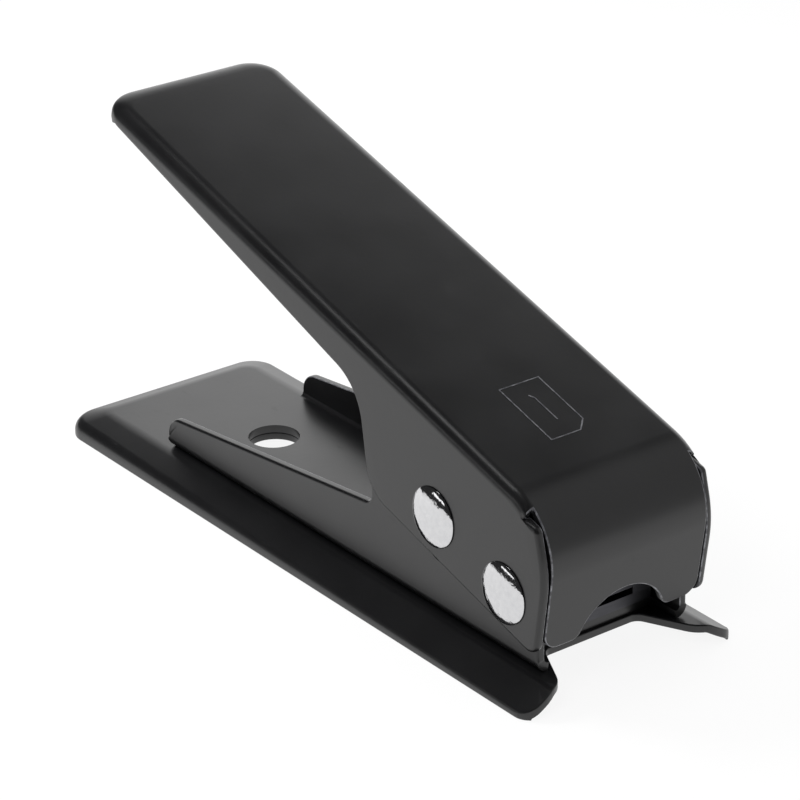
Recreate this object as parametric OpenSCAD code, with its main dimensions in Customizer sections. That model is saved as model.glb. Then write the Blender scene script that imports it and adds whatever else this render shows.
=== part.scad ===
// Desk cutter that punches a small card out of a larger one. A stamped base carries a folded
// channel with the die stack; a folded lever turns on the front rivet and its second rivet
// drives the punch. Modelled at rest, with the lever up. Millimetres, +Z up, card mouth at -Y.

/* [Base plate] */
// Length of the base plate
base_len = 109.8; // [106:0.2:116]
// Width of the base plate
base_w = 36; // [34:0.5:42]
// Width of the flat platform between the sloping skirts
base_flat_w = 26.8; // [26:0.2:30]
// Height of the platform above the table
base_h = 3.6; // [3:0.1:6]
// Sheet thickness of the base plate
base_t = 1.2; // [0.8:0.1:1.5]
// Height of the skirt's upright lip at the front end
lip_front = 0.9; // [0.6:0.1:1.4]
// Height of the skirt's upright lip at the rear end
lip_rear = 2.4; // [1.2:0.1:2.6]
// Run of the slope at the rear end
rear_run = 4; // [2:0.5:6]
// Plan radius of the rear corners
base_rear_r = 4.2; // [3:0.1:7]
// Plan radius of the front tips' outer corners
base_tip_r = 1.6; // [0.5:0.1:2.5]
// Plan radius of the front tips' inner corners, where the notch opens
mouth_r = 3; // [0.5:0.1:4]
// Depth of the finger notch from the front tips
notch_depth = 8.7; // [6:0.1:10]
// Width of the finger notch at its bottom
notch_w = 15.8; // [12:0.2:17]
// Width of the finger notch at its mouth
notch_mouth_w = 26.4; // [24:0.2:29]
// Radius of the notch's inner corners
notch_r = 1.6; // [0.5:0.1:2.5]
// Diameter of the fixing hole behind the die
fixing_d = 7.6; // [5:0.1:9]
// Distance of the fixing hole from the rear end of the base
fixing_from_rear = 29.4; // [26:0.2:36]

/* [Channel frame] */
// Outer width of the folded channel
channel_w = 25.6; // [24.6:0.2:26.6]
// Sheet thickness of the channel
channel_t = 1.2; // [0.8:0.1:1.4]
// Outer bend radius between the channel's floor and cheeks
channel_bend_r = 1.8; // [1.5:0.1:2.4]
// Distance of the channel's rear end from the rear end of the base
channel_from_rear = 20.6; // [16:0.2:24]
// Height of the cheeks at the rear end, above the platform
cheek_rear_h = 5; // [4.5:0.1:7]
// Height of the cheeks where the ears start, above the platform
cheek_front_h = 10.6; // [9:0.1:12]
// Radius of the cheeks' rear top corners
cheek_rear_r = 3.2; // [1:0.1:4]
// Height of the ears above the pivot
ear_h = 9.4; // [8.8:0.2:10]
// Reach of the ears in front of the pivot
ear_front = 4.9; // [4.5:0.1:5.2]
// Reach of the ears behind the pivot
ear_rear = 30.3; // [28:0.1:31]
// Radius of the ears' front top corners
ear_front_r = 7; // [6:0.5:8]
// Radius of the ears' rear top corners
ear_rear_r = 5; // [2:0.5:7]
// Radius of the inner corner between cheek and ear
ear_root_r = 1.6; // [0.5:0.1:2.5]

/* [Lever] */
// Slope of the lever's top at rest
lever_open = 16.1; // [14:0.1:18]
// Swing of the lever from rest to the end of the stroke
lever_swing = 18; // [14:0.5:19]
// Sheet thickness of the lever
lever_t = 1.1; // [0.8:0.1:1.3]
// Gap between a lever cheek and the channel
side_gap = 0.5; // [0.4:0.05:0.8]
// Distance of the pivot behind the front end of the base
pivot_from_front = 9.15; // [9:0.05:10]
// Clearance between the pivot bush and the stripper plate
pivot_gap = 2.2; // [1.8:0.05:3]
// Reach of the lever behind the pivot
lever_rear = 99.6; // [92:0.2:101]
// Reach of the front flap before the pivot, at the pivot's level
flap_reach = 7.3; // [7.2:0.1:8]
// Lean of the front flap, its foot forward
flap_lean = 7.9; // [4:0.1:10]
// Height of the lever's top above the pivot
lever_top = 14.6; // [14.2:0.1:16]
// Depth of the lever's cheeks below the pivot
cheek_drop = 5; // [4.6:0.1:5.4]
// Outer bend radius between the lever's top and its cheeks
lever_edge_r = 1.5; // [1.2:0.1:2]
// Outer bend radius between the lever's top and its front flap
flap_bend_r = 9.5; // [8:0.5:10]
// Outer bend radius at the lever's rear end
rear_bend_r = 1.6; // [1.2:0.1:1.9]
// Plan radius of the lever's rear corners
lever_rear_r = 4; // [2:0.5:6]
// Depth of the rear wall below the lever's top
rear_wall_h = 2.2; // [2:0.1:4]
// Depth of the side flange where it turns down into the cheek
flange_h = 6.1; // [5:0.1:7]
// Distance behind the pivot where the flange turns down into the cheek
cheek_turn = 34.8; // [33:0.1:38]
// Distance behind the pivot where the cheek's bottom edge ends
cheek_rear = 28.7; // [26:0.1:30]
// Radius where the flange turns down into the cheek
cheek_turn_r = 8; // [3:0.5:9]
// Radius of the cheek's rear bottom corner
cheek_heel_r = 6; // [3:0.5:8]
// Radius of the cheek's front bottom corner
cheek_toe_r = 4.2; // [2:0.1:5]
// Height above the pivot where the cheek's front edge bends back
cheek_bend_w = 7; // [6:0.1:8]
// Radius of that bend
cheek_bend_r = 16; // [8:0.5:18]
// Distance of the cheek's front top corner before the pivot
cheek_brow_v = 2.6; // [2.4:0.1:3]
// Drop of the cheek's front top corner below the lever's top
cheek_brow_drop = 2.2; // [2.1:0.1:3]
// Radius of the cheek's front top corner
cheek_brow_r = 0.6; // [0.3:0.1:0.8]
// Distance of the corner relief before the pivot
relief_v = 1.4; // [1:0.1:1.8]
// Width of the slit between the flap and a cheek
relief_w = 0.5; // [0.3:0.1:1]
// Drop of the flap's foot below the pivot
flap_drop = 4.3; // [3.6:0.1:4.4]
// Radius of the flap's outer bottom corners
flap_corner_r = 2.4; // [1:0.1:3]
// Radius of the thumb cut-out in the flap
thumb_r = 7.6; // [6:0.1:8.5]
// Height of the thumb cut-out above the flap's foot
thumb_h = 5.4; // [4:0.1:6]
// Radius of the lobes beside the thumb cut-out
lobe_r = 1.5; // [0.5:0.1:2]

/* [Rivets and bushes] */
// Diameter of the rivet shanks
rivet_d = 4; // [3:0.1:4.2]
// Diameter of the domed rivet heads
rivet_head_d = 8.6; // [7:0.1:9]
// Height of the domed rivet heads
rivet_head_h = 1.3; // [0.9:0.1:1.8]
// Depth of the shank's seat in a rivet cap
rivet_seat = 0.6; // [0.3:0.1:0.7]
// Outer diameter of the pivot bush
pivot_bush_d = 5.5; // [5.2:0.1:6]
// Outer diameter of the drive bush
drive_bush_d = 5; // [4.8:0.1:5.4]
// Distance of the drive bush behind the pivot, along the lever
drive_v = 15.4; // [14.8:0.1:16]
// Height of the drive bush above the pivot, across the lever
drive_w = 0.8; // [0.6:0.05:1.2]
// Outer diameter of the thrust washers on the pivot bush
washer_d = 9; // [7:0.1:9.4]
// Thickness of the thrust washers
washer_t = 0.4; // [0.2:0.05:0.4]

/* [Die stack] */
// Width of the guides on both sides of the card slot
guide_w = 3.15; // [3:0.05:3.6]
// Length of the card that goes in
card_len = 25; // [24:0.5:26]
// Height of the card slot
slot_h = 1; // [0.9:0.05:1.3]
// Thickness of the die plate
die_t = 1.6; // [1.2:0.1:2.4]
// Thickness of the stripper plate
stripper_t = 1.6; // [1.2:0.1:2.4]
// Gap between the die stack and the channel's cheeks
stack_gap = 0.8; // [0.7:0.05:1.2]
// Setback of the die stack behind the notch
stack_setback = 0.5; // [0.2:0.1:1.5]
// Length of the card stop
stop_len = 2.4; // [1.5:0.1:4]
// Thread diameter of the stack screws
screw_d = 2; // [1.6:0.1:2.1]
// Head diameter of the stack screws
screw_head_d = 3.8; // [3:0.1:4]
// Distance of the stack screws from the ends of the stack
screw_inset = 2.4; // [2:0.1:3]
// Depth of the stack screws' ends below the stripper plate's top
screw_sink = 0.12; // [0.05:0.01:0.3]

/* [Punch] */
// Length of the punched card
cut_len = 12.3; // [10:0.1:12.8]
// Width of the punched card
cut_w = 8.8; // [7:0.1:9]
// Clipped corner of the punched card
cut_clip = 1.65; // [1:0.05:2.5]
// Clearance between punch and die on each side
cut_clear = 0.04; // [0.02:0.01:0.08]
// Clearance between punch and stripper plate on each side
strip_clear = 0.08; // [0.04:0.01:0.15]
// Height of the punch's face above the card slot at rest
punch_lift = 0.9; // [0.4:0.1:1.1]
// Length of the punch holder
holder_len = 19.4; // [19:0.2:21]
// Gap between the punch holder and a cheek
holder_gap = 0.3; // [0.2:0.05:0.5]
// Wall of the holder above the drive bush
holder_roof = 1.5; // [1:0.1:2.5]
// Room left under the holder at the end of the stroke
holder_stop = 0.2; // [0.1:0.05:0.6]
// Thread diameter of the punch screws
punch_screw_d = 2; // [1.6:0.1:2.2]
// Head diameter of the punch screws
punch_screw_head_d = 3.6; // [3:0.1:3.8]
// Head height of the punch screws
punch_screw_head_h = 1.4; // [0.8:0.1:2]
// Thread depth of the punch screws in the punch
punch_screw_depth = 3; // [2:0.1:4]

/* [Return springs] */
// Wire diameter of the springs
wire_d = 0.5; // [0.4:0.05:0.6]
// Outer diameter of the springs
spring_d = 4; // [3.8:0.1:4.2]
// Length of the springs at rest
spring_len = 10.9; // [10:0.1:11.2]
// Number of turns of each spring
spring_turns = 5; // [4:1:6]
// Diameter of the guide posts inside the springs
post_d = 2.4; // [2:0.1:2.5]
// Spacing of the guide posts along the channel
post_base = 13.4; // [13.2:0.1:14]
// Depth of the posts' seats in the stripper plate
post_seat = 1.2; // [0.8:0.1:1.2]

/* [Clearances] */
// Running clearance of a shaft in its bore
run = 0.05; // [0.02:0.01:0.08]
// Seat clearance of a fixed pin or screw in its hole
seat = 0.03; // [0.01:0.01:0.05]
// Clearance of the drive bush in the slots of the channel and the punch holder
drive_clear = 0.15; // [0.1:0.05:0.3]
// Clearance of a spring in its pocket
pocket_clear = 0.3; // [0.2:0.05:0.4]
// Room around the punched card in the floor and the base
drop_clear = 0.6; // [0.3:0.1:1]

/* [Hidden] */

$fn = 64;
eps = 0.01;
far = 200;
arc_steps = 12;
dome_fn = 160;
spring_rings = 8;
spring_sides = 6;

black_paint = "#2b2c2e";
bright_steel = "#b9bcc0";
chrome = "#d8dadd";
dark_steel = "#6c6f74";

// Levels of the stack, from the table up
floor_top = base_h + channel_t;
die_top = floor_top + die_t;
slot_top = die_top + slot_h;
stripper_top = slot_top + stripper_t;

// Places along the part
front_y = -base_len / 2;
rear_y = base_len / 2;
fixing_y = rear_y - fixing_from_rear;
channel_rear = rear_y - channel_from_rear;
notch_y = front_y + notch_depth;
stack_front = notch_y + stack_setback;
stop_y = stack_front + card_len;
stack_rear = stop_y + stop_len;
stack_w = channel_w - 2 * channel_t - 2 * stack_gap;
slot_w = stack_w - 2 * guide_w;
// Half width of the channel's floor between the bends
fold_x = channel_w / 2 - channel_bend_r;

// The pivot and the drive bush, at rest and at the end of the stroke
pivot_y = front_y + pivot_from_front;
pivot_z = stripper_top + pivot_gap + pivot_bush_d / 2;
drive_r = norm([drive_v, drive_w]);
drive_angle = atan2(drive_w, drive_v) + lever_open;
drive_end_angle = drive_angle - lever_swing;
drive_y = pivot_y + drive_r * cos(drive_angle);
drive_z = pivot_z + drive_r * sin(drive_angle);
drive_end_y = pivot_y + drive_r * cos(drive_end_angle);
stroke = drive_r * (sin(drive_angle) - sin(drive_end_angle));
punch_y = (drive_y + drive_end_y) / 2;

// The lever's width follows the channel
lever_in_w = channel_w + 2 * side_gap;
lever_w = lever_in_w + 2 * lever_t;
flap_w = lever_in_w - 2 * relief_w;

// The punch and its holder
holder_bottom = stripper_top + holder_stop + stroke;
holder_top = drive_z + drive_bush_d / 2 + drive_clear + holder_roof;
holder_w = channel_w - 2 * channel_t - 2 * holder_gap;
punch_bottom = slot_top + punch_lift;
punch_screw_y = [punch_y - cut_len / 2 + punch_screw_d, punch_y + cut_len / 2 - punch_screw_d];
pocket_d = spring_d + 2 * pocket_clear;
// The posts stand midway between the punch's sides and the holder's sides
post_gauge = (cut_w + holder_w) / 2;
post_xy = [
    for (x = [-1, 1], y = [-1, 1])
    [x * post_gauge / 2, punch_y + y * post_base / 2]
];
screw_xy = [
    for (x = [-1, 1], y = [stack_front + screw_inset, stack_rear - screw_inset])
    [x * (slot_w + guide_w) / 2, y]
];

// Outline helpers

function unit(p) = p / norm(p);

function at(p) = [p[0], p[1]];

// Points of an arc round a centre, its last point left out for the next stretch to start on
function arc(centre, r, start, turn) = [
    for (i = [0 : arc_steps - 1])
    centre + r * [cos(start + turn * i / arc_steps), sin(start + turn * i / arc_steps)]
];

// Arc that rounds the corner b between the neighbours a and c with the radius in b
function round_corner(a, b, c) =
    let (
        to_a = unit(at(a) - at(b)),
        to_c = unit(at(c) - at(b)),
        half = acos(to_a * to_c) / 2,
        reach = b[2] / tan(half),
        centre = at(b) + unit(to_a + to_c) * b[2] / sin(half),
        from = at(b) + to_a * reach - centre,
        to = at(b) + to_c * reach - centre,
        start = atan2(from[1], from[0]),
        turn = (atan2(to[1], to[0]) - start + 540) % 360 - 180
    )
    b[2] == 0 ? [at(b)]
    : concat(arc(centre, b[2], start, turn), [centre + to]);

// Closed outline from corners [x, y, radius]
function rounded(corners) =
    let (n = len(corners))
    [
        for (i = [0 : n - 1])
        each round_corner(corners[(i + n - 1) % n], corners[i], corners[(i + 1) % n])
    ];

// Extrudes a side view drawn in (y, z) to both sides of the middle plane
module along_x(w) {
    rotate([90, 0, 90])
        translate([0, 0, -w / 2])
            linear_extrude(w) children();
}

// Extrudes a front view drawn in (x, z) from y = from to y = to
module along_y(from, to) {
    translate([0, to, 0])
        rotate([90, 0, 0])
            linear_extrude(to - from) children();
}

// Extrudes a plan view from z = low to z = high
module upright(low, high) {
    translate([0, 0, low])
        linear_extrude(high - low) children();
}

// Round bar along X through a point of the side view
module bar_x(d, w, y, z) {
    translate([-w / 2, y, z])
        rotate([0, 90, 0])
            cylinder(d = d, h = w);
}

// Cup section of half width hw, open at the top, with rounded bottom corners
module cup_section(hw, r, h) {
    translate([-hw, r]) square([2 * hw, h - r]);
    translate([r - hw, 0]) square([2 * (hw - r), r + eps]);
    for (side = [-1, 1]) translate([side * (hw - r), r]) circle(r);
}

// Turns the lever's own frame, level top and pivot at the origin, to its place at rest
module lever_place() {
    translate([0, pivot_y, pivot_z])
        rotate([lever_open, 0, 0]) children();
}

// Base plate

// Plan between a front and a rear line, with rounded corners
module base_plan(half_w, front, rear, front_r, rear_r) {
    polygon(rounded([
        [-half_w, front, front_r], [half_w, front, front_r],
        [half_w, rear, rear_r], [-half_w, rear, rear_r]
    ]));
}

// Block under a sheet: a platform over a lip that grows towards the rear. Sinking it by one
// sheet thickness and pulling it in by another gives the hollow.
module base_block(sink, pull, front) {
    slope_w = (base_w - base_flat_w) / 2;
    lip_f = lip_front - sink + pull * (base_h - lip_front) / slope_w;
    lip_r = lip_rear - sink + pull * (base_h - lip_rear) / slope_w;
    hull() {
        upright(base_h - sink - eps, base_h - sink)
            base_plan(base_flat_w / 2, front, rear_y - rear_run, 0, base_rear_r - rear_run / 2);
        intersection() {
            upright(-sink, base_h)
                base_plan(base_w / 2 - pull, front, rear_y - pull, pull > 0 ? 0 : base_tip_r,
                    base_rear_r - pull);
            along_x(base_w)
                polygon([
                    [front, -sink], [rear_y, -sink], [rear_y, max(lip_r, eps)], [front, max(lip_f, eps)]
                ]);
        }
    }
}

// Finger notch, flaring towards the mouth
module notch_plan() {
    polygon(rounded([
        [-notch_w / 2, notch_y, notch_r], [notch_w / 2, notch_y, notch_r],
        [notch_mouth_w / 2, front_y - eps, mouth_r], [base_w, front_y - eps, 0],
        [base_w, front_y - base_tip_r, 0], [-base_w, front_y - base_tip_r, 0],
        [-base_w, front_y - eps, 0], [-notch_mouth_w / 2, front_y - eps, mouth_r]
    ]));
}

// Outline of the punched card with one clipped corner, grown by a margin
module card_plan(margin) {
    x = cut_w / 2 + margin;
    y = cut_len / 2 + margin;
    translate([0, punch_y])
        polygon([[-x, -y], [x - cut_clip, -y], [x, cut_clip - y], [x, y], [-x, y]]);
}

// Countersunk stack screws, heads under the base sheet and ends at the level top, or their
// holes when grown by a margin
module stack_screw_shape(margin, top) {
    low = base_h - base_t;
    head_h = (screw_head_d - screw_d) / 2;
    for (p = screw_xy)
        translate([p[0], p[1], low])
            rotate_extrude()
                polygon([
                    [0, 0], [screw_head_d / 2 + margin, 0], [screw_d / 2 + margin, head_h],
                    [screw_d / 2 + margin, top - low], [0, top - low]
                ]);
}

module stack_screw_holes() {
    stack_screw_shape(seat, stripper_top + eps);
}

module base_plate() {
    color(black_paint)
        difference() {
            base_block(0, 0, front_y);
            base_block(base_t, base_t, front_y - base_t);
            upright(-eps, base_h + eps) notch_plan();
            upright(-eps, base_h + eps) card_plan(drop_clear);
            translate([0, fixing_y, 0]) cylinder(d = fixing_d, h = base_h + eps);
            stack_screw_holes();
        }
}

// Channel: one folded sheet, parted where its bends start

// Side view of a cheek: a low rail behind, an ear with the pivot in front
function cheek_side() = [
    [pivot_y - ear_front, base_h, 0],
    [channel_rear, base_h, 0],
    [channel_rear, base_h + cheek_rear_h, cheek_rear_r],
    [pivot_y + ear_rear, base_h + cheek_front_h, ear_root_r],
    [pivot_y + ear_rear, pivot_z + ear_h, ear_rear_r],
    [pivot_y - ear_front, pivot_z + ear_h, ear_front_r]
];

// Outline of the slot in the ears along the drive bush's path round the pivot
function drive_path() =
    let (
        half = drive_bush_d / 2 + drive_clear,
        pivot = [pivot_y, pivot_z],
        swing = drive_angle - drive_end_angle,
        rest = pivot + drive_r * [cos(drive_angle), sin(drive_angle)],
        end = pivot + drive_r * [cos(drive_end_angle), sin(drive_end_angle)]
    )
    concat(
        arc(pivot, drive_r + half, drive_end_angle, swing),
        arc(rest, half, drive_angle, 180),
        arc(pivot, drive_r - half, drive_angle, -swing),
        arc(end, half, drive_end_angle + 180, 180)
    );

// Flat floor between the bends, cut back at the card mouth
module channel_floor() {
    color(black_paint)
        difference() {
            upright(base_h, floor_top)
                translate([-fold_x, stack_front])
                    square([2 * fold_x, channel_rear - stack_front]);
            upright(base_h - eps, floor_top + eps) card_plan(drop_clear);
            translate([0, fixing_y, 0]) cylinder(d = fixing_d, h = floor_top + eps);
            stack_screw_holes();
        }
}

// Front view of one side of the sheet, from the bend up
module cheek_section(side) {
    intersection() {
        difference() {
            cup_section(channel_w / 2, channel_bend_r, far);
            translate([0, channel_t])
                cup_section(channel_w / 2 - channel_t, channel_bend_r - channel_t, far);
        }
        translate([side * channel_w / 2 - channel_bend_r, 0]) square([2 * channel_bend_r, far]);
    }
}

// Cheek on one side with the bend at its foot
module channel_cheek(side) {
    difference() {
        intersection() {
            along_y(front_y, rear_y) translate([0, base_h]) cheek_section(side);
            along_x(channel_w) polygon(rounded(cheek_side()));
        }
        stack_screw_holes();
        bar_x(pivot_bush_d + 2 * run, channel_w + eps, pivot_y, pivot_z);
        along_x(channel_w + eps) polygon(drive_path());
    }
}

module channel_cheek_left() {
    color(black_paint) channel_cheek(-1);
}

module channel_cheek_right() {
    color(black_paint) channel_cheek(1);
}

// Die stack

module stack_plate(low, high) {
    difference() {
        upright(low, high)
            translate([-stack_w / 2, stack_front]) square([stack_w, stack_rear - stack_front]);
        stack_screw_holes();
    }
}

module die_plate() {
    color(bright_steel)
        difference() {
            stack_plate(floor_top, die_top);
            upright(floor_top - eps, die_top + eps) card_plan(cut_clear);
        }
}

module card_guide(side) {
    color(dark_steel)
        difference() {
            upright(die_top, slot_top)
                translate([side * (slot_w + guide_w) / 2 - guide_w / 2, stack_front])
                    square([guide_w, stack_rear - stack_front]);
            stack_screw_holes();
        }
}

module card_guide_left() {
    card_guide(-1);
}

module card_guide_right() {
    card_guide(1);
}

module card_stop() {
    color(dark_steel)
        upright(die_top, slot_top)
            translate([-slot_w / 2, stop_y]) square([slot_w, stop_len]);
}

module stripper_plate() {
    color(bright_steel)
        difference() {
            stack_plate(slot_top, stripper_top);
            upright(slot_top - eps, stripper_top + eps) card_plan(strip_clear);
            for (p = post_xy)
                translate([p[0], p[1], stripper_top - post_seat])
                    cylinder(d = post_d + 2 * seat, h = post_seat + eps);
        }
}

module stack_screws() {
    color(chrome) stack_screw_shape(0, stripper_top - screw_sink);
}

module guide_posts() {
    color(bright_steel)
        for (p = post_xy)
            translate([p[0], p[1], stripper_top - post_seat])
                cylinder(d = post_d, h = holder_top - stripper_top + post_seat);
}

// Return springs

// Middle line of a spring: a straight foot, the turns, and a straight end
function spring_line() =
    let (
        r = (spring_d - wire_d) / 2,
        steps = spring_turns * spring_rings,
        rise = spring_len - 2 * wire_d
    )
    [
        [r, 0, 0],
        for (i = [0 : steps])
        [r * cos(360 * i / spring_rings), r * sin(360 * i / spring_rings), wire_d + rise * i / steps],
        [r, 0, spring_len]
    ];

// Direction of the line at its point i, square to the seats at the two ends
function line_way(line, i) =
    i == 0 || i == len(line) - 1 ? [0, 0, 1]
    : unit(unit(line[i + 1] - line[i]) + unit(line[i] - line[i - 1]));

// Ring of the wire's outline round the line's point i
function wire_ring(line, i) =
    let (
        way = line_way(line, i),
        out = unit(cross(cross(way, [line[i][0], line[i][1], 0]), way)),
        side = cross(way, out)
    )
    [
        for (k = [0 : spring_sides - 1])
        line[i] + wire_d / 2 * (cos(360 * k / spring_sides) * out + sin(360 * k / spring_sides) * side)
    ];

// Least gap between turns of a spring, measured between points half a turn or more apart
function spring_gap(line) =
    min([
        for (i = [0 : len(line) - 1], j = [i : len(line) - 1])
        if (j - i >= spring_rings / 2) norm(line[j] - line[i])
    ]) - wire_d;

module spring_tube(line) {
    rings = len(line);
    n = spring_sides;
    walls = [
        for (i = [0 : rings - 2], k = [0 : n - 1])
        each [
            [i * n + k, (i + 1) * n + k, (i + 1) * n + (k + 1) % n],
            [i * n + k, (i + 1) * n + (k + 1) % n, i * n + (k + 1) % n]
        ]
    ];
    foot = [for (k = [1 : n - 2]) [0, k, k + 1]];
    end = [for (k = [1 : n - 2]) (rings - 1) * n * [1, 1, 1] + [0, k + 1, k]];
    polyhedron([for (i = [0 : rings - 1]) each wire_ring(line, i)], concat(walls, foot, end));
}

module return_springs() {
    line = spring_line();
    echo(least_spring_gap = spring_gap(line));
    color(dark_steel)
        for (p = post_xy)
            translate([p[0], p[1], stripper_top]) spring_tube(line);
}

// Punch

module punch_holder() {
    head_floor = holder_top - punch_screw_head_h;
    half = drive_bush_d / 2 + drive_clear;
    color(dark_steel)
        difference() {
            upright(holder_bottom, holder_top)
                translate([-holder_w / 2, punch_y - holder_len / 2]) square([holder_w, holder_len]);
            along_x(holder_w + eps)
                translate([0, drive_z]) {
                    translate([drive_y, -half]) square([drive_end_y - drive_y, 2 * half]);
                    for (y = [drive_y, drive_end_y]) translate([y, 0]) circle(half);
                }
            for (p = post_xy)
                translate([p[0], p[1], holder_bottom - eps]) {
                    cylinder(d = pocket_d, h = stripper_top + spring_len - holder_bottom + eps);
                    cylinder(d = post_d + 2 * run, h = holder_top - holder_bottom + 2 * eps);
                }
            for (y = punch_screw_y)
                translate([0, y, 0]) {
                    translate([0, 0, holder_bottom - eps])
                        cylinder(d = punch_screw_d + 2 * seat, h = holder_top - holder_bottom + eps);
                    translate([0, 0, head_floor])
                        cylinder(d = punch_screw_head_d + 2 * seat, h = punch_screw_head_h + eps);
                }
        }
}

module punch() {
    color(bright_steel)
        difference() {
            upright(punch_bottom, holder_bottom) card_plan(0);
            for (y = punch_screw_y)
                translate([0, y, holder_bottom - punch_screw_depth])
                    cylinder(d = punch_screw_d + 2 * seat, h = punch_screw_depth + eps);
        }
}

module punch_screws() {
    head_floor = holder_top - punch_screw_head_h;
    color(chrome)
        for (y = punch_screw_y)
            translate([0, y, 0]) {
                translate([0, 0, holder_bottom - punch_screw_depth + seat])
                    cylinder(d = punch_screw_d, h = head_floor - holder_bottom + punch_screw_depth);
                translate([0, 0, head_floor])
                    cylinder(d = punch_screw_head_d, h = punch_screw_head_h);
            }
}

// Lever, drawn in its own frame with v to the rear and w up from the pivot

// Front face of the flap at the height w, moved back by inset
function flap_v(w, inset) = -flap_reach + w * tan(flap_lean) + inset / cos(flap_lean);

// Lower edge of the side flange at the distance v
function flange_w(v) =
    lever_top - rear_wall_h
    - (flange_h - rear_wall_h) * (lever_rear - v) / (lever_rear - cheek_turn);

// Side view of the lever's outside, or of its hollow when inset by the sheet
function lever_side(inset) =
    let (low = -cheek_drop - 2 * inset - lever_t, top = lever_top - inset)
    [
        [flap_v(low, inset), low, 0],
        [lever_rear - inset, low, 0],
        [lever_rear - inset, top, rear_bend_r - inset],
        [flap_v(top, inset), top, flap_bend_r - inset]
    ];

// Outline that the cheeks and side flanges are trimmed to
function cheek_trim() =
    let (above = lever_top + lever_t, brow = lever_top - cheek_brow_drop, beyond = lever_rear + lever_t)
    [
        [-relief_v, above, 0],
        [-relief_v, brow, 0],
        [-cheek_brow_v, brow, cheek_brow_r],
        [flap_v(cheek_bend_w, 0), cheek_bend_w, cheek_bend_r],
        [flap_v(-cheek_drop, 0), -cheek_drop, cheek_toe_r],
        [cheek_rear, -cheek_drop, cheek_heel_r],
        [cheek_turn, flange_w(cheek_turn), cheek_turn_r],
        [beyond, flange_w(beyond), 0],
        [beyond, above, 0]
    ];

// Solid inside one face of the sheet: the outside at inset 0, the hollow at inset lever_t
module lever_block(inset) {
    half = lever_w / 2 - inset;
    low = -cheek_drop - 2 * inset - lever_t;
    front = -flap_reach - lever_top;
    intersection() {
        along_x(2 * half) polygon(rounded(lever_side(inset)));
        along_y(front, lever_rear)
            translate([0, lever_top - inset])
                mirror([0, 1]) cup_section(half, lever_edge_r - inset, lever_top - low);
        upright(low, lever_top)
            polygon(rounded([
                [-half, front, 0], [half, front, 0],
                [half, lever_rear - inset, lever_rear_r - inset],
                [-half, lever_rear - inset, lever_rear_r - inset]
            ]));
    }
}

// What is cut off the flap in (x, w): all outside its round corners, lobes and thumb cut-out
module flap_trim() {
    foot = -flap_drop;
    low = -cheek_drop - lever_top;
    centre = foot + thumb_h - thumb_r;
    reach = sqrt(pow(thumb_r + lobe_r, 2) - pow(foot + lobe_r - centre, 2));
    lobe = [reach, foot + lobe_r];
    touch = lobe - lobe_r * unit(lobe - [0, centre]);
    difference() {
        translate([-flap_w / 2 - relief_w, low])
            square([flap_w + 2 * relief_w, lever_top - low]);
        difference() {
            polygon(rounded([
                [-flap_w / 2, foot, flap_corner_r], [flap_w / 2, foot, flap_corner_r],
                [flap_w / 2, lever_top + lever_t, 0], [-flap_w / 2, lever_top + lever_t, 0]
            ]));
            translate([0, centre]) circle(thumb_r);
            for (side = [-1, 1])
                scale([side, 1]) lobe_cut(lobe, touch, foot);
        }
    }
}

// Corner between the thumb cut-out and the foot line, down to the round of the lobe
module lobe_cut(lobe, touch, foot) {
    difference() {
        polygon([touch, [lobe[0], foot - eps], [0, foot - eps], [0, touch[1]]]);
        translate(lobe) circle(lobe_r);
    }
}

// What is cut off outside the cheeks' outline between two distances from the pivot
module cheek_offcut(from, to) {
    difference() {
        translate([from, -cheek_drop - lever_top]) square([to - from, 3 * lever_top]);
        polygon(rounded(cheek_trim()));
    }
}

module lever() {
    low = -cheek_drop - lever_top;
    front = -flap_reach - lever_top;
    // On the cheeks' straight foot: behind it the rear wall is cut off with them
    split = cheek_rear / 2;
    color(black_paint)
        lever_place()
            difference() {
                lever_block(0);
                lever_block(lever_t);
                for (side = [-1, 1])
                    translate([side * (lever_in_w + lever_w) / 4, 0, 0])
                        along_x(lever_t + eps) cheek_offcut(front, split + lever_t);
                along_x(lever_w + eps) cheek_offcut(split, lever_rear + lever_t);
                for (side = [-1, 1])
                    translate([side * (lever_in_w - relief_w) / 2, 0, 0])
                        along_x(relief_w + eps)
                            translate([front, low]) square([-relief_v - front, 3 * lever_top]);
                along_y(front, -relief_v - eps) flap_trim();
                bar_x(rivet_d + 2 * seat, lever_w + eps, 0, 0);
                bar_x(rivet_d + 2 * seat, lever_w + eps, drive_v, drive_w);
            }
}

// Rivets, bushes and washers, all riding on the lever

// Outline of a domed head that stands on the line y = 0
module dome(d, h) {
    r = (d * d / 4 + h * h) / (2 * h);
    intersection() {
        translate([0, h - r]) circle(r);
        square([d / 2, h]);
    }
}

// Rivet with its head on the left cheek and its shank's end in the cap
module rivet(v, w) {
    lever_place()
        translate([0, v, w])
            rotate([0, -90, 0]) {
                translate([0, 0, lever_w / 2])
                    rotate_extrude($fn = dome_fn) dome(rivet_head_d, rivet_head_h, $fn = dome_fn);
                translate([0, 0, -lever_w / 2 - rivet_seat + seat])
                    cylinder(d = rivet_d, h = lever_w + rivet_seat - seat + eps);
            }
}

// Domed cap pressed over the shank's end on the right cheek
module rivet_cap(v, w) {
    lever_place()
        translate([lever_w / 2, v, w])
            rotate([0, 90, 0])
                difference() {
                    rotate_extrude($fn = dome_fn) dome(rivet_head_d, rivet_head_h, $fn = dome_fn);
                    translate([0, 0, -eps])
                        cylinder(d = rivet_d + 2 * seat, h = rivet_seat + eps, $fn = dome_fn);
                }
}

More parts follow.
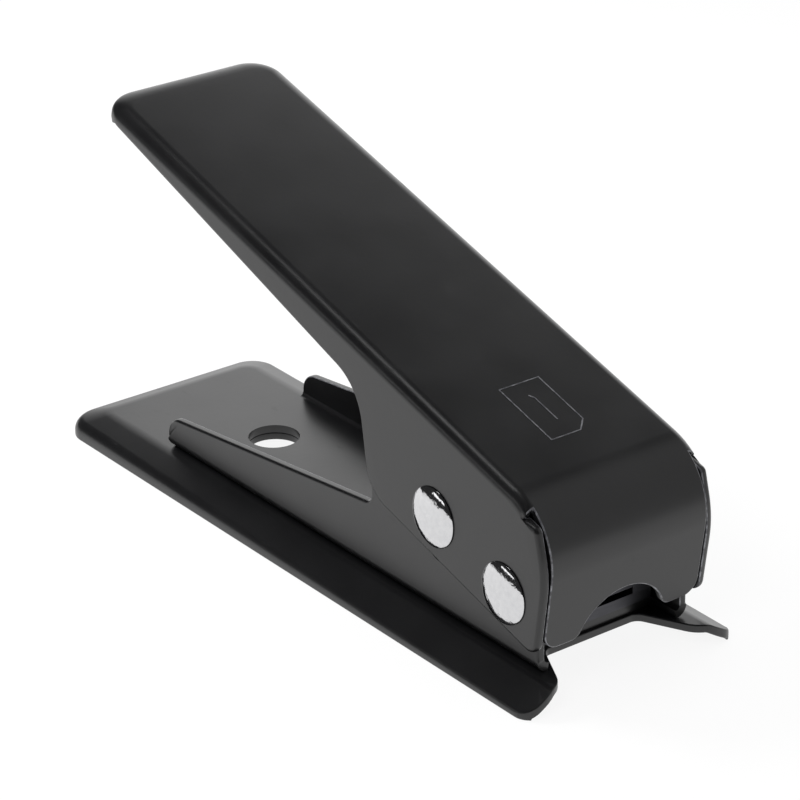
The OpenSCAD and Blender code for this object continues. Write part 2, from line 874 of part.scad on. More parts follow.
// Tube over a rivet's shank that keeps the lever's cheeks apart
module bush(d, v, w) {
    lever_place()
        translate([0, v, w])
            difference() {
                bar_x(d, lever_in_w - 2 * seat, 0, 0);
                bar_x(rivet_d + 2 * seat, lever_in_w, 0, 0);
            }
}

module pivot_rivet() {
    color(chrome) rivet(0, 0);
}

module pivot_rivet_cap() {
    color(chrome) rivet_cap(0, 0);
}

module pivot_bush() {
    color(bright_steel) bush(pivot_bush_d, 0, 0);
}

module pivot_washers() {
    color(bright_steel)
        lever_place()
            for (side = [-1, 1])
                translate([side * (channel_w + side_gap) / 2, 0, 0])
                    difference() {
                        bar_x(washer_d, washer_t, 0, 0);
                        bar_x(pivot_bush_d + 2 * run, washer_t + eps, 0, 0);
                    }
}

module drive_rivet() {
    color(chrome) rivet(drive_v, drive_w);
}

module drive_rivet_cap() {
    color(chrome) rivet_cap(drive_v, drive_w);
}

module drive_bush() {
    color(bright_steel) bush(drive_bush_d, drive_v, drive_w);
}

base_plate();
channel_floor();
channel_cheek_left();
channel_cheek_right();
die_plate();
card_guide_left();
card_guide_right();
card_stop();
stripper_plate();
stack_screws();
guide_posts();
return_springs();
punch_holder();
punch();
punch_screws();
lever();
pivot_rivet();
pivot_rivet_cap();
pivot_bush();
pivot_washers();
drive_rivet();
drive_rivet_cap();
drive_bush();
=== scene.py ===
# Looks of a small card punch: stamped base, folded channel and lever in black enamel, chrome
# rivets and bright die parts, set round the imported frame. Sizes are in millimetres.
import math

import bmesh
import bpy
from mathutils import Matrix, Vector


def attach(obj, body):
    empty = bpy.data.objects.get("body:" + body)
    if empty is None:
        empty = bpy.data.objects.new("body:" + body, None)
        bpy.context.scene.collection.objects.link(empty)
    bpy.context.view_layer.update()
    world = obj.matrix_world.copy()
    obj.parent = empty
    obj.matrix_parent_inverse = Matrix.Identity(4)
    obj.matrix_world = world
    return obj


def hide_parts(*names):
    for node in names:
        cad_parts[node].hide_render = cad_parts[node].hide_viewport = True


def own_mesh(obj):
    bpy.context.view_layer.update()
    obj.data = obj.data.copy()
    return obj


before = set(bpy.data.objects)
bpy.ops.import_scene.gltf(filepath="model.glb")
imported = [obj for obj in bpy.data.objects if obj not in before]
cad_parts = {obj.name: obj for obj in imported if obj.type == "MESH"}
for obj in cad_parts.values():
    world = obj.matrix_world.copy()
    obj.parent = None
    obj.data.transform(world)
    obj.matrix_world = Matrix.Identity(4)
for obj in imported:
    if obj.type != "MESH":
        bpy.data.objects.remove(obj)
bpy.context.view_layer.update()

MM = 0.001

# Stamped base
BASE_LEN, BASE_W, BASE_FLAT_W, BASE_H, BASE_T = 109.8, 36.0, 26.8, 3.6, 1.2
LIP_FRONT, LIP_REAR, BASE_REAR_RUN = 0.9, 2.4, 4.0
BASE_REAR_R, BASE_FLAT_R, BASE_TIP_R, MOUTH_R = 4.2, 2.2, 2.5, 4.4
NOTCH_DEPTH, NOTCH_W, NOTCH_MOUTH_W, NOTCH_R = 8.7, 15.8, 24.4, 1.6
BASE_BEND_FRONT_R, BASE_BEND_REAR_R = 1.0, 6.0
CREASE_FRONT_R, CREASE_REAR_R = 0.7, 2.0
BASE_ROLL = 0.2
FRONT_Y, REAR_Y = -BASE_LEN / 2, BASE_LEN / 2
FIXING_R, FIXING_Y = 3.8, 25.5

# Spare sheet ahead of the base, and how far the cutters reach past what they cut
FRONT_SPARE, TRIM_SIDE, TRIM_FRONT, TRIM_PAST, PAST = 4.0, 8.0, 9.0, 3.0, 1.0

# Folded channel
CHANNEL_W, CHANNEL_T, CHANNEL_BEND_R = 25.6, 1.2, 1.8
CHANNEL_FRONT, CHANNEL_REAR = -50.65, 34.3
CHEEK_REAR_H, CHEEK_FRONT_H, CHEEK_REAR_R = 5.0, 10.6, 3.2
EAR_REAR, EAR_TOP = -15.45, 23.35
EAR_FRONT_R, EAR_REAR_R, EAR_ROOT_R = 7.0, 5.0, 1.6
CHANNEL_ROLL, CHANNEL_LINE = 0.45, 0.15
STACK_FRONT = -45.7
FLOOR_TOP = BASE_H + CHANNEL_T

# Folded lever, in its own frame: v to the rear and w up from the pivot
PIVOT_Y, PIVOT_Z, LEVER_OPEN = -45.75, 13.95, math.radians(16.1)
LEVER_W, LEVER_T, LEVER_TOP, LEVER_REAR = 28.8, 1.1, 14.85, 99.6
LEVER_EDGE_R, NOSE_R, REAR_CORNER_R = 1.7, 10.1, 5.2
REAR_DROP, REAR_SIDE_RUN, REAR_RUN = 2.0, 2.5, 3.5
REAR_WALL_H, FLANGE_H, CHEEK_TURN, CHEEK_REAR = 2.6, 6.5, 34.8, 28.7
TURN_R, HEEL_R, TOE_R = 8.0, 6.0, 1.8
FRONT_BEND_W, FRONT_BEND_R, BROW_V, BROW_R, BROW_DROP = 7.0, 16.0, 2.9, 1.0, 2.05
CHEEK_DROP, FLAP_REACH, FLAP_LEAN = 5.0, 7.3, math.radians(7.9)
FLAP_W, FLAP_DROP, FLAP_CORNER_R = 26.1, 4.3, 2.4
RELIEF_V, THUMB_R, THUMB_H, LOBE_R = 0.3, 7.6, 5.4, 1.5
LEVER_ROLL, LEVER_LINE = 0.6, 0.18
# An edge this near the side is a cheek's outer one, and one this far in is none of a cheek's
SIDE_NEAR, SIDE_FAR = 0.1, 0.5

# Rivets, die and springs
RIVET_D, RIVET_HEAD_D, RIVET_HEAD_H, RIVET_RIM_H = 4.0, 8.6, 1.3, 0.15
RIVET_CHAMFER_H, RIVET_CHAMFER, DOME_POWER = 0.1, 0.15, 0.75
DRIVE_V, DRIVE_W = 15.4, 0.8
DRIVE_SWING = math.radians(18)
PIVOT_BUSH_D, DRIVE_BUSH_D, BUSH_RUN, DRIVE_CLEAR = 5.5, 5.0, 0.05, 0.15
CUT_W, CUT_LEN, CUT_CLIP, DROP_CLEAR, PUNCH_Y = 8.8, 12.3, 1.65, 0.6, -30.754
SCREW_X, SCREW_YS, SCREW_D, SCREW_HEAD_D, SCREW_CLEAR = 9.225, (-43.3, -20.7), 2.0, 3.8, 0.05
POST_X, POST_YS = 7.85, (-37.454, -24.054)
SPRING_D, WIRE_D, SPRING_LEN, SPRING_TURNS, SPRING_SEAT = 4.0, 0.5, 10.9, 7.0, 9.0
TURN_STEPS, WIRE_SIDES = 24, 12

# Card mark on the lever, in the lever's frame
MARK_X, MARK_V, MARK_W, MARK_LEN, MARK_CLIP = 0.3, 14.4, 6.6, 11.2, 1.7
MARK_LINE, MARK_RISE, MITRE_LEAST = 0.3, 0.05, 0.3
STROKE_X, STROKE_FRONT, STROKE_REAR = 0.1, -0.23 * MARK_LEN, 0.2 * MARK_LEN
STROKE_TIP_X, STROKE_TIP = -0.4, 0.27 * MARK_LEN

# Points nearer than this are one point; angles in degrees past which an edge is sharp
MERGE = 0.002
SHEARED_ANGLE, SHEET_ANGLE, RIVET_ANGLE, COIL_ANGLE = 38, 40, 50, 60


# Materials

def linear(code):
    """Colour of an sRGB hex value, in linear light."""
    values = [int(code[i:i + 2], 16) / 255 for i in (1, 3, 5)]
    return [c / 12.92 if c <= 0.04045 else ((c + 0.055) / 1.055) ** 2.4 for c in values] + [1.0]


def add(tree, kind, inputs=None, **settings):
    """Adds a node with its settings; an input takes a value, a socket or a node's first output."""
    made = tree.nodes.new(kind)
    for key, value in settings.items():
        setattr(made, key, value)
    for key, value in (inputs or {}).items():
        if isinstance(value, bpy.types.Node):
            value = next(socket for socket in value.outputs if socket.enabled)
        if isinstance(value, bpy.types.NodeSocket):
            tree.links.new(value, made.inputs[key])
        else:
            made.inputs[key].default_value = value
    return made


def new_material(name):
    """A new material and its node tree, still empty."""
    made = bpy.data.materials.new(name)
    made.use_nodes = True
    made.node_tree.nodes.clear()
    return made, made.node_tree


def grain(tree, size, detail, stretch=(1, 1, 1)):
    """Noise with grains about size millimetres across, drawn out along the axes of a small stretch."""
    place = add(tree, "ShaderNodeTexCoord").outputs["Object"]
    laid = add(tree, "ShaderNodeMapping", {"Vector": place, "Scale": stretch})
    return add(tree, "ShaderNodeTexNoise", {
        "Vector": laid, "Scale": 1 / (size * MM), "Detail": detail})


def stoved_black_enamel():
    # Semi-gloss stoving enamel sprayed on steel sheet: near black, with a soft orange peel
    # about 1 mm across that breaks up the highlights, and faint handling scuffs.
    made, tree = new_material("stoved_black_enamel_on_sheet_steel")
    cloud = grain(tree, size=9, detail=3)
    depth = add(tree, "ShaderNodeMapRange", {"Value": cloud, "From Min": 0.3, "From Max": 0.7})
    shade = add(tree, "ShaderNodeMix", {
        "Factor": depth, "A": linear("#101011"), "B": linear("#151516")}, data_type="RGBA")
    sheen = add(tree, "ShaderNodeMapRange", {
        "Value": cloud, "From Min": 0.3, "From Max": 0.7, "To Min": 0.3, "To Max": 0.34})
    scuff = add(tree, "ShaderNodeMapRange", {
        "Value": grain(tree, size=1.6, detail=4, stretch=(1, 0.25, 1)),
        "From Min": 0.66, "From Max": 0.78, "To Min": 0.0, "To Max": 0.12})
    rough = add(tree, "ShaderNodeMath", {0: sheen, 1: scuff}, operation="ADD")
    peel = grain(tree, size=1.1, detail=1.5)
    fine = grain(tree, size=0.3, detail=1)
    height = add(tree, "ShaderNodeMath", {0: fine, 1: 0.3, 2: peel}, operation="MULTIPLY_ADD")
    bump = add(tree, "ShaderNodeBump", {"Height": height, "Strength": 1.0, "Distance": 0.006 * MM})
    shader = add(tree, "ShaderNodeBsdfPrincipled", {
        "Base Color": shade, "Roughness": rough, "IOR": 1.58, "Normal": bump})
    add(tree, "ShaderNodeOutputMaterial", {"Surface": shader})
    return made


def rubbed_enamel_and_painted_glint():
    # The same enamel where it thins out over a sheared edge, the steel showing through it; its pale,
    # part-metal colour is also a painted highlight, standing in for the glint that light draws along
    # such an edge.
    made, tree = new_material("thin_enamel_and_painted_glint_on_sheared_edge")
    bare_and_glint = add(tree, "ShaderNodeMapRange", {
        "Value": grain(tree, size=0.8, detail=3), "From Min": 0.4, "From Max": 0.65})
    shade = add(tree, "ShaderNodeMix", {
        "Factor": bare_and_glint, "A": linear("#4c4c50"), "B": linear("#8a8b8f")}, data_type="RGBA")
    metal = add(tree, "ShaderNodeMapRange", {"Value": bare_and_glint, "To Min": 0.15, "To Max": 0.6})
    rough = add(tree, "ShaderNodeMapRange", {"Value": bare_and_glint, "To Min": 0.34, "To Max": 0.28})
    shader = add(tree, "ShaderNodeBsdfPrincipled", {
        "Base Color": shade, "Metallic": metal, "Roughness": rough})
    add(tree, "ShaderNodeOutputMaterial", {"Surface": shader})
    return made


def chrome_plate():
    # Bright chrome over a cold-headed rivet: mirror-like, with a faint haze, and with low dents
    # about 2 mm across that break up what it mirrors.
    made, tree = new_material("polished_chrome_plate")
    haze = grain(tree, size=0.7, detail=4)
    shade = add(tree, "ShaderNodeMix", {
        "Factor": haze, "A": linear("#c6c6c8"), "B": linear("#dededf")}, data_type="RGBA")
    rough = add(tree, "ShaderNodeMapRange", {
        "Value": haze, "From Min": 0.3, "From Max": 0.7, "To Min": 0.07, "To Max": 0.13})
    bump = add(tree, "ShaderNodeBump", {
        "Height": grain(tree, size=2.1, detail=3), "Strength": 1.0, "Distance": 0.1 * MM})
    shader = add(tree, "ShaderNodeBsdfPrincipled", {
        "Base Color": shade, "Metallic": 1.0, "Roughness": rough, "Normal": bump})
    add(tree, "ShaderNodeOutputMaterial", {"Surface": shader})
    return made


def lined_steel(name, dark, light, smoothest, roughest, line, stretch):
    """Steel with lines left by its making, line millimetres apart, and stains about 5 mm across."""
    made, tree = new_material(name)
    lines = grain(tree, size=line, detail=3, stretch=stretch)
    stain = grain(tree, size=5, detail=3)
    shade = add(tree, "ShaderNodeMix", {
        "Factor": stain, "A": linear(dark), "B": linear(light)}, data_type="RGBA")
    rough = add(tree, "ShaderNodeMapRange", {
        "Value": lines, "From Min": 0.3, "From Max": 0.7, "To Min": smoothest, "To Max": roughest})
    bump = add(tree, "ShaderNodeBump", {"Height": lines, "Strength": 1.0, "Distance": 0.004 * MM})
    shader = add(tree, "ShaderNodeBsdfPrincipled", {
        "Base Color": shade, "Metallic": 1.0, "Roughness": rough, "Normal": bump})
    add(tree, "ShaderNodeOutputMaterial", {"Surface": shader})
    return made


ENAMEL = stoved_black_enamel()
EDGE = rubbed_enamel_and_painted_glint()
SHEET_FINISHES = (ENAMEL, EDGE)
CHROME = chrome_plate()
# Ground flat along the plate: lines 0.25 mm apart run fore and aft.
GROUND_STEEL = lined_steel(
    "ground_tool_steel", "#8b8d90", "#a7a9ac",
    smoothest=0.24, roughest=0.4, line=0.25, stretch=(1, 0.05, 1))
# Zinc plate on turned pieces: pale, a little blue, with fine lines from side to side.
ZINC_PLATE = lined_steel(
    "bright_zinc_on_turned_steel", "#a9adb3", "#c3c6ca",
    smoothest=0.2, roughest=0.34, line=0.3, stretch=(0.1, 1, 1))
# Oil-blackened plates: dark and satin, with cutter marks from side to side.
OILED_STEEL = lined_steel(
    "oil_blackened_steel", "#454548", "#5a5a5e",
    smoothest=0.36, roughest=0.5, line=0.4, stretch=(0.1, 1, 1))
# Drawn wire: grey with a thin oil film. Its die lines are too fine to show, so they are drawn
# 0.15 mm apart.
SPRING_WIRE = lined_steel(
    "drawn_spring_wire", "#6d6e71", "#8a8b8e",
    smoothest=0.26, roughest=0.38, line=0.15, stretch=(1, 1, 0.3))


# Outlines

def polar(centre, radius, angle):
    """The point of a circle at an angle."""
    return (centre[0] + radius * math.cos(angle), centre[1] + radius * math.sin(angle))


def arc(centre, radius, start, end, steps):
    """Points of an arc between two angles, both ends in."""
    return [polar(centre, radius, start + (end - start) * i / steps) for i in range(steps + 1)]


def ring(centre, radius, steps):
    """Points of a whole circle."""
    return arc(centre, radius, 0, 2 * math.pi, steps)[:-1]


def round_corner(before, corner, after, radius, steps):
    """Points of the arc that rounds a corner between its neighbours."""
    corner = Vector(corner)
    to_before = (Vector(before) - corner).normalized()
    to_after = (Vector(after) - corner).normalized()
    half = to_before.angle(to_after) / 2
    centre = corner + (to_before + to_after).normalized() * radius / math.sin(half)
    reach = radius / math.tan(half)
    first = corner + to_before * reach - centre
    last = corner + to_after * reach - centre
    start = math.atan2(first.y, first.x)
    turn = (math.atan2(last.y, last.x) - start + 3 * math.pi) % (2 * math.pi) - math.pi
    return arc(centre, radius, start, start + turn, steps)


def chain(start, corners, end, steps=10):
    """Outline from a start through rounded corners (x, y, radius) to an end."""
    stops = [start, *(corner[:2] for corner in corners), end]
    points = [start]
    for before, (x, y, radius), after in zip(stops, corners, stops[2:]):
        points += round_corner(before, (x, y), after, radius, steps)
    return points + [end]


def mirrored(points):
    """Plan points of the other half, in the way that goes on round the outline."""
    return [(-x, y) for x, y in reversed(points)]


def clipped_card(width, length, clip):
    """A card round the origin with one corner clipped, in plan."""
    x, y = width / 2, length / 2
    return [(-x, -y), (x - clip, -y), (x, clip - y), (x, y), (-x, y)]


def card_drop():
    """Hole that the punched card falls through, in plan."""
    card = clipped_card(CUT_W + 2 * DROP_CLEAR, CUT_LEN + 2 * DROP_CLEAR, CUT_CLIP)
    return [(x, PUNCH_Y + y) for x, y in card]


# Meshes

def object_of(name, data):
    """An object for a mesh, a lamp or a camera, put in the scene."""
    made = bpy.data.objects.new(name, data)
    bpy.context.scene.collection.objects.link(made)
    return made


def joined(name, faces, outward):
    """One mesh from faces given by their points, merged, its faces looking outwards."""
    bm = bmesh.new()
    for points in faces:
        bm.faces.new([bm.verts.new([c * MM for c in point]) for point in points])
    bmesh.ops.remove_doubles(bm, verts=bm.verts, dist=MERGE * MM)
    bmesh.ops.recalc_face_normals(bm, faces=bm.faces)
    way = Vector(outward)
    # Of the faces that lie furthest out, one that is square to the way tells best
    square_weight = 1e-4

    def reach(face):
        return face.calc_center_median().dot(way) + square_weight * abs(face.normal.dot(way))

    if max(bm.faces, key=reach).normal.dot(way) < 0:
        bmesh.ops.reverse_faces(bm, faces=bm.faces)
    mesh = bpy.data.meshes.new(name)
    bm.to_mesh(mesh)
    bm.free()
    return object_of(name, mesh)


def prism(outline, low, high, upright=True):
    """Closed block over an outline in plan, or over one in (y, z) that runs along X."""
    def put(point, level):
        return (*point, level) if upright else (level, *point)

    faces = [[put(point, level) for point in outline] for level in (low, high)]
    for a, b in zip(outline, outline[1:] + outline[:1]):
        faces.append([put(a, low), put(b, low), put(b, high), put(a, high)])
    return joined("cutter", faces, (0, 0, 1) if upright else (1, 0, 0))


def turned(name, profile, place, sides=96):
    """Closed solid turned about its own axis: profile of (along, radius), place maps its points."""
    rings = []
    for along, radius in profile:
        points = ring((0, 0), radius, sides) if radius else [(0, 0)]
        rings.append([place(along, *point) for point in points])
    faces = []
    for a, b in zip(rings, rings[1:]):
        for k in range(sides):
            quad = [a[k % len(a)], a[(k + 1) % len(a)], b[(k + 1) % len(b)], b[k % len(b)]]
            faces.append([point for i, point in enumerate(quad) if point not in quad[:i]])
    far = Vector(place(profile[-1][0], 0, 0)) - Vector(place(profile[0][0], 0, 0))
    return joined(name, faces, far)


def settle(piece, cutters=()):
    """Applies a piece's modifiers for good and clears away its cutters."""
    ready = piece.evaluated_get(bpy.context.evaluated_depsgraph_get())
    mesh = bpy.data.meshes.new_from_object(ready)
    piece.modifiers.clear()
    piece.data = mesh
    mesh.name = piece.name
    for cutter in cutters:
        bpy.data.objects.remove(cutter)


def smooth(piece, angle):
    """Smooth faces, sharp where two meet at more than an angle in degrees."""
    piece.data.shade_smooth()
    piece.data.set_sharp_from_angle(angle=math.radians(angle))


def sheared(piece, rolls):
    """Rounds a sheet's sharp edges; rolls gives (test, radius, finish) in turn.
    A test gets an edge's middle, on the right half, and whether it lies on the sheet's inside."""
    bm = bmesh.new()
    bm.from_mesh(piece.data)
    shell = bm.verts.layers.deform.verify()
    bmesh.ops.triangulate(bm, faces=[face for face in bm.faces if len(face.verts) > 4])
    for test, radius, finish in rolls:
        edges = []
        for edge in bm.edges:
            x, y, z = (edge.verts[0].co + edge.verts[1].co) / 2 / MM
            sharp = edge.is_manifold and edge.calc_face_angle() > math.radians(SHEARED_ANGLE)
            if sharp and test(Vector((abs(x), y, z)), all(len(v[shell]) for v in edge.verts)):
                edges.append(edge)
        bmesh.ops.bevel(
            bm, geom=edges, offset=radius * MM, offset_type="OFFSET", segments=4, profile=0.5,
            affect="EDGES", clamp_overlap=False, loop_slide=False,
            material=SHEET_FINISHES.index(finish))
    bm.to_mesh(piece.data)
    bm.free()


def cut_out(piece, cutters):
    """Cuts a piece out with the cutters."""
    for cutter in cutters:
        cut = piece.modifiers.new("cut", "BOOLEAN")
        cut.object = cutter
        cut.operation = "DIFFERENCE"
        cut.solver = "EXACT"
    settle(piece, cutters)


def folded(piece, wall, cutters, rolls, holes=()):
    """Gives a sheet its wall inwards, cuts it out, rounds its sheared edges, drills its holes
    and enamels it. A sheet that is solid already takes no wall."""
    if wall:
        piece.vertex_groups.new(name="inside")
        thick = piece.modifiers.new("wall", "SOLIDIFY")
        thick.thickness = wall * MM
        thick.offset = -1
        thick.use_even_offset = True
        thick.shell_vertex_group = "inside"
    cut_out(piece, cutters)
    piece.data.materials.clear()
    for finish in SHEET_FINISHES:
        piece.data.materials.append(finish)
    sheared(piece, rolls)
    piece.vertex_groups.clear()
    cut_out(piece, holes)
    smooth(piece, SHEET_ANGLE)
    weighted = piece.modifiers.new("shading", "WEIGHTED_NORMAL")
    weighted.keep_sharp = True
    settle(piece)


# Stamped base

def base_rim():
    """Pairs of plan points from the front left round the rear: skirt's foot and platform's edge."""
    half, flat = BASE_W / 2, BASE_FLAT_W / 2
    rear_flat = REAR_Y - BASE_REAR_RUN
    start = FRONT_Y - FRONT_SPARE
    corner_steps, side_steps = 14, 16
    foot, edge = [], []
    for i in range(side_steps):
        y = start + (REAR_Y - BASE_REAR_R - start) * i / side_steps
        foot.append((-half, y))
        edge.append((-flat, min(y, rear_flat - BASE_FLAT_R)))
    for points, x, y, radius in (
            (foot, -half, REAR_Y, BASE_REAR_R), (edge, -flat, rear_flat, BASE_FLAT_R)):
        points += arc((x + radius, y - radius), radius, math.pi, math.pi / 2, corner_steps)
        points += mirrored(points)
    return zip(foot, edge)


def skirt_profile(run, y):
    """Skirt from the table up to the platform and back inside, as (distance inwards, height).
    Its lip rises and its bends soften towards the rear."""
    crease_steps, bend_steps = 8, 12
    rearward = (y - FRONT_Y) / BASE_LEN
    lip = LIP_FRONT + (LIP_REAR - LIP_FRONT) * rearward
    crease_r = CREASE_FRONT_R + (CREASE_REAR_R - CREASE_FRONT_R) * rearward
    bend_r = BASE_BEND_FRONT_R + (BASE_BEND_REAR_R - BASE_BEND_FRONT_R) * rearward ** 2
    slope = math.atan2(BASE_H - lip, run)
    middle = (run + BASE_FLAT_W / 2, BASE_H)
    crease = round_corner((0, 0), (0, lip), (run, BASE_H), crease_r, crease_steps)
    bend = round_corner((0, lip), (run, BASE_H), middle, bend_r + BASE_T, bend_steps)
    centre = (bend[-1][0], BASE_H - BASE_T - bend_r)
    under = arc(centre, bend_r, math.pi / 2, math.pi / 2 + slope, bend_steps)
    inner_lip = lip + BASE_T * math.tan(slope) - BASE_T / math.cos(slope)
    return [(0, 0)] + crease + bend, under + [(BASE_T, inner_lip), (BASE_T, 0)]


def front_trim():
    """Outline of what is cut away ahead of the base: round its tips and into the finger notch."""
    half, tip_y, notch_y = BASE_W / 2, FRONT_Y + BASE_TIP_R, FRONT_Y + NOTCH_DEPTH
    corner_steps = 8
    right = [(half + TRIM_SIDE, FRONT_Y - TRIM_FRONT), (half + TRIM_SIDE, tip_y)]
    right += arc((half - BASE_TIP_R, tip_y), BASE_TIP_R, 0, -math.pi / 2, corner_steps)
    notch = chain(
        (half - BASE_TIP_R, FRONT_Y),
        [(NOTCH_MOUTH_W / 2, FRONT_Y, MOUTH_R), (NOTCH_W / 2, notch_y, NOTCH_R)],
        (-NOTCH_W / 2, notch_y), corner_steps)
    right += notch[1:-1]
    return right + mirrored(right)


def upright_at(x, y):
    """Stands a turned profile on an upright axis through a point in plan."""
    return lambda along, a, b: (x + a, y + b, along)


def screw_hole(x, y):
    """Countersunk hole for a stack screw, from under the platform."""
    low, high = BASE_H - BASE_T, BASE_H + PAST
    head_r, shank_r = SCREW_HEAD_D / 2 + SCREW_CLEAR, SCREW_D / 2 + SCREW_CLEAR
    profile = [
        (low - PAST, 0), (low - PAST, head_r), (low, head_r),
        (low + head_r - shank_r, shank_r), (high, shank_r), (high, 0)]
    return turned("cutter", profile, upright_at(x, y), sides=32)


def make_base():
    """Base pressed from one sheet: platform, sloping skirt, lip, finger notch and holes."""
    outside, inside = [], []
    for foot, edge in base_rim():
        foot, edge = Vector(foot), Vector(edge)
        run = (edge - foot).length
        inwards = (edge - foot) / run
        for side, profile in zip((outside, inside), skirt_profile(run, foot.y)):
            side.append([(foot.x + inwards.x * d, foot.y + inwards.y * d, z) for d, z in profile])
    faces = [[column[-1] for column in outside], [column[0] for column in inside]]
    rings = [a + b for a, b in zip(outside, inside)]
    top = len(outside[0]) - 1
    for a, b in zip(rings, rings[1:]):
        for i in range(len(a)):
            if i != top:
                j = (i + 1) % len(a)
                faces.append([a[i], b[i], b[j], a[j]])
    faces.append(outside[0] + outside[-1][::-1] + inside[-1][::-1] + inside[0])
    base = joined("stamped_base", faces, (0, 0, 1))
    cutters = [
        prism(front_trim(), -TRIM_PAST, BASE_H + TRIM_PAST),
        prism(ring((0, FIXING_Y), FIXING_R, steps=64), -PAST, BASE_H + PAST),
    ]
    holes = [prism(card_drop(), -PAST, BASE_H + PAST)]
    holes += [screw_hole(x, y) for x in (-SCREW_X, SCREW_X) for y in SCREW_YS]
    folded(base, 0, cutters, [(lambda p, inside: True, BASE_ROLL, ENAMEL)], holes)
    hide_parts("base_plate")
    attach(base, "base")


# Folded channel

def drive_slot(pivot):
    """Slot in the ears that the drive bush swings in, in (y, z)."""
    reach = math.hypot(DRIVE_V, DRIVE_W)
    rest = math.atan2(DRIVE_W, DRIVE_V) + LEVER_OPEN
    end = rest - DRIVE_SWING
    half = DRIVE_BUSH_D / 2 + DRIVE_CLEAR
    side_steps, end_steps = 8, 12
    sides = (
        arc(pivot, reach + half, end, rest, side_steps),
        arc(polar(pivot, reach, rest), half, rest, rest + math.pi, end_steps),
        arc(pivot, reach - half, rest, end, side_steps),
        arc(polar(pivot, reach, end), half, end + math.pi, end + 2 * math.pi, end_steps),
    )
    return [point for side in sides for point in side[:-1]]


def make_channel():
    """Channel folded from one sheet: floor, two cheeks and the ears that carry the lever."""
    half = CHANNEL_W / 2
    flat = half - CHANNEL_BEND_R
    fold_top = BASE_H + CHANNEL_BEND_R
    bend = arc((flat, fold_top), CHANNEL_BEND_R, -math.pi / 2, 0, steps=8)
    cheek = chain(
        (CHANNEL_REAR, fold_top),
        [
            (CHANNEL_REAR, BASE_H + CHEEK_REAR_H, CHEEK_REAR_R),
            (EAR_REAR, BASE_H + CHEEK_FRONT_H, EAR_ROOT_R),
            (EAR_REAR, EAR_TOP, EAR_REAR_R),
            (CHANNEL_FRONT, EAR_TOP, EAR_FRONT_R),
        ],
        (CHANNEL_FRONT, fold_top))
    cheek.append((STACK_FRONT, fold_top))
    faces = [[
        (flat, STACK_FRONT, BASE_H), (flat, CHANNEL_REAR, BASE_H),
        (-flat, CHANNEL_REAR, BASE_H), (-flat, STACK_FRONT, BASE_H)]]
    for side in (-1, 1):
        faces.append([(side * half, y, z) for y, z in cheek])
        for a, b in zip(bend, bend[1:]):
            for front, rear in ((CHANNEL_FRONT, STACK_FRONT), (STACK_FRONT, CHANNEL_REAR)):
                faces.append([
                    (side * a[0], front, a[1]), (side * b[0], front, b[1]),
                    (side * b[0], rear, b[1]), (side * a[0], rear, a[1])])
    channel = joined("folded_channel", faces, (0, 0, -1))
    pivot = (PIVOT_Y, PIVOT_Z)
    bore = ring(pivot, PIVOT_BUSH_D / 2 + BUSH_RUN, steps=48)
    cutters = [prism(ring((0, FIXING_Y), FIXING_R, steps=64), BASE_H - PAST, FLOOR_TOP + PAST)]
    holes = [prism(card_drop(), BASE_H - PAST, FLOOR_TOP + PAST)]
    for outline in (bore, drive_slot(pivot)):
        holes.append(prism(outline, -half - PAST, half + PAST, upright=False))
    # Cheeks rolled over outside by the shears; inside, a thin bevel in the pale edge finish is a
    # painted highlight line
    folded(channel, CHANNEL_T, cutters, [
        (lambda p, inside: p.z > fold_top and not inside, CHANNEL_ROLL, ENAMEL),
        (lambda p, inside: p.z > fold_top and inside, CHANNEL_LINE, EDGE)], holes)
    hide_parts("channel_floor", "channel_cheek_left", "channel_cheek_right")
    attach(channel, "base")


# Folded lever

def from_lever(x, v, w):
    """A point of the lever's own frame, where the lever stands at rest."""
    s, c = math.sin(LEVER_OPEN), math.cos(LEVER_OPEN)
    return (x, PIVOT_Y + v * c - w * s, PIVOT_Z + v * s + w * c)


def flap_v(w):
    """Where the leaning flap lies at a height."""
    return -FLAP_REACH + w * math.tan(FLAP_LEAN)


def flange_w(v):
    """Lower edge of the side flanges, which rises to the rear."""
    drop = (FLANGE_H - REAR_WALL_H) * (LEVER_REAR - v) / (LEVER_REAR - CHEEK_TURN)
    return LEVER_TOP - REAR_WALL_H - drop


def flap_foot():
    """Foot of the flap from its right corner to its left one, in (x, w)."""
    foot = -FLAP_DROP
    centre = (0, foot + THUMB_H - THUMB_R)
    lobe_x = math.sqrt((THUMB_R + LOBE_R) ** 2 - (foot + LOBE_R - centre[1]) ** 2)
    lobe = (lobe_x, foot + LOBE_R)
    meet = math.atan2(lobe[1] - centre[1], lobe[0])
    corner = (FLAP_W / 2 - FLAP_CORNER_R, foot + FLAP_CORNER_R)
    corner_steps, lobe_steps, thumb_steps = 8, 6, 14
    right = arc(corner, FLAP_CORNER_R, 0, -math.pi / 2, corner_steps)
    right += arc(lobe, LOBE_R, -math.pi / 2, meet - math.pi, lobe_steps)
    right += arc(centre, THUMB_R, meet, math.pi / 2, thumb_steps)[1:]
    return right + mirrored(right[:-1])


